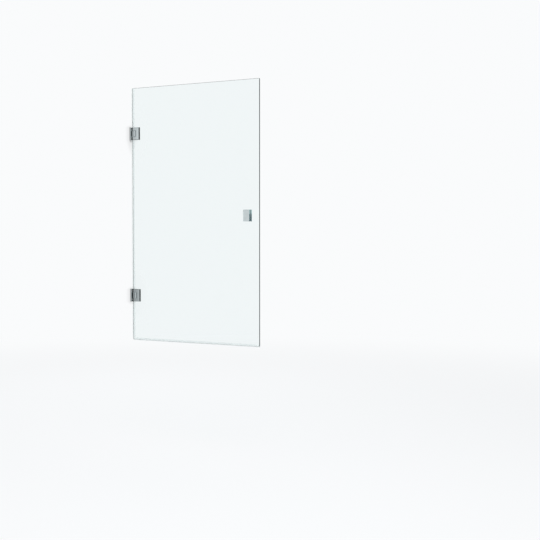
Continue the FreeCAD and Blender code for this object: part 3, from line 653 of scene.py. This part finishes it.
# painted reflection: the knobs' sides mirror a card that is dark below and pale above
KNOB_LOW = (0.10, 0.20, 0.24)
KNOB_HIGH = (0.50, 0.70, 0.71)
KNOB_SHADES = [(0.0, KNOB_LOW), (0.48, KNOB_LOW), (0.52, KNOB_HIGH), (1.0, KNOB_HIGH)]
HINGE_SHADES = {
    "upper": [(0.0, (0.12, 0.13, 0.13)), (1.0, (0.11, 0.115, 0.115))],
    "lower": [(0.0, (0.045, 0.05, 0.05)), (1.0, (0.07, 0.075, 0.075))],
}
KNOB_CARD = (1.004, 0.437, 0.458)
CLAMP_CARD = (0.319, 0.405)
NECK_CARD = (0.583, -0.829)
CARD_LIFTS = {"upper": (0.048, 0.096), "lower": (-0.030, -0.060)}  # the clamp's and the neck's


def reflected_card(name, middle, reach, radius, stops):
    """A small round card with a soft rim, mirrored only from its own reach. The stops shade it upwards."""
    finish = Finish(name)
    here = finish.add("TexCoord", out="Object")
    height = finish.eased(finish.part(here, "Z"), -radius, radius, shape="LINEAR")
    shade = finish.add("ValToRGB", {"stops": stops}, {0: height}, "Color")
    off_reach = abs(finish.add("LightPath", out="Ray Length") - reach)
    mirrored = (finish.add("LightPath", out="Glossy Depth") > 0.5) * (off_reach < CARD_DEPTH)
    inside = finish.eased(finish.length(here), 0.7 * radius, radius, 1.0, 0.0)
    clear = finish.add("BsdfTransparent")
    material = finish.done(finish.mix_shaders(mirrored * inside, clear, finish.glow(shade)))
    corners = [(across * radius, 0, up * radius) for across, up in SQUARE]
    card = stage_square(name, corners, middle, material, ("camera", *UNLIT))
    card.rotation_euler.z = math.copysign(CARD_TURN, middle[1])


PLATE_SIDE = 0.014  # half a wall plate's width
PLATE_END = 0.0345  # half its height
PLATE_SHADE = 0.42  # the wall's shade right beside a plate, where 1 is the bare backdrop
PATCH_REACH = 0.18
PATCH_FADE = (0.10, 0.16)
PATCH_BEHIND = 0.0004  # how far the patch lies behind a plate's back


def shade_beside_plate(finish, reach, near, near_tone, far):
    """The wall's shade by its reach from a plate: a near rise to a tone, and a far one from there to 1."""
    near_rise = finish.eased(reach, *near, PLATE_SHADE, near_tone)
    return near_rise + finish.eased(reach, *far, 0.0, 1 - near_tone)


def wall_patch(name, level, inward, drop, tone):
    """A round patch of pale wall behind a hinge, in the shade of its plate, that fades out at its rim.

    It shows only from the front, and it throws no shadow and no light. drop scales how soon the
    shade ends below the plate. In the metal the patch is mirrored at a tone of its own, with a
    shaded strip on the side towards the other hinge, which inward gives as 1 for up or -1 for down.
    """
    finish = Finish(name)
    here = finish.add("TexCoord", out="Object")
    up = finish.part(here, "Z")
    beside = (abs(finish.part(here, "Y")) - PLATE_SIDE).at_least(0)
    above = (up - PLATE_END).at_least(0)
    below = (-PLATE_END - up).at_least(0)
    strip = finish.eased(inward * up, 0.048, 0.060) * finish.eased(beside, 0.008, 0.02, 1.0, 0.0)
    mirrored_reach = beside + 0.4 * above + 0.4 * below
    mirrored = shade_beside_plate(finish, mirrored_reach, (0.002, 0.013), 0.76, (0.013, 0.07))
    plain_reach = beside + 3 * above + drop * below
    plain = shade_beside_plate(finish, plain_reach, (0.0, 0.010), 0.86, (0.006, 0.05))
    in_metal = finish.ray("Glossy") - finish.ray("Transmission")
    shade = finish.mix_values(in_metal, plain, tone * (mirrored * (1 - 0.85 * strip)))
    paint = finish.glow(finish.mix(shade, BLACK, BACKDROP))
    faded = finish.eased(finish.length(here), *PATCH_FADE)
    hidden = faded.at_least(finish.add("NewGeometry", out="Backfacing"))
    material = finish.done(finish.mix_shaders(hidden, paint, finish.add("BsdfTransparent")))
    corners = [(0, across * PATCH_REACH, up * PATCH_REACH) for across, up in SQUARE]
    stage_square(name, corners, (-PATCH_BEHIND, 0, level), material, UNLIT)


def camera():
    """The photograph's viewpoint."""
    lens = bpy.data.cameras.new("camera")
    lens.sensor_width = 36
    lens.lens = 67.928
    lens.clip_start = 0.05
    lens.clip_end = 100
    holder = bpy.data.objects.new("camera", lens)
    holder.location = (3.3666, -4.6763, 0.3457)
    holder.rotation_euler = (math.radians(87.943), 0, math.radians(28.041))
    bpy.context.scene.collection.objects.link(holder)
    bpy.context.scene.camera = holder


floor()
backdrop()
lamp("key_lamp", place=(2.4, -2.6, 3.2), power=60, colour=(1.0, 0.995, 0.985))
lamp("fill_lamp", place=(-1.8, 2.6, 2.6), power=30, colour=(0.985, 0.995, 1.0))
reflected_card("knob_card", KNOB_CARD, reach=0.5, radius=0.075, stops=KNOB_SHADES)
for side, level in HINGE_LEVELS.items():
    clamp_lift, neck_lift = CARD_LIFTS[side]
    reflected_card(f"{side}_hinge_card", (*CLAMP_CARD, level + clamp_lift), reach=0.5, radius=0.09,
                   stops=HINGE_SHADES[side])
    reflected_card(f"{side}_neck_card", (*NECK_CARD, level + neck_lift), reach=1.0, radius=0.12,
                   stops=HINGE_SHADES[side])
wall_patch("upper_wall_patch", HINGE_LEVELS["upper"], inward=-1, drop=0.5, tone=0.95)
wall_patch("lower_wall_patch", HINGE_LEVELS["lower"], inward=1, drop=2.0, tone=0.62)
camera()
bpy.context.scene.view_settings.view_transform = "Standard"
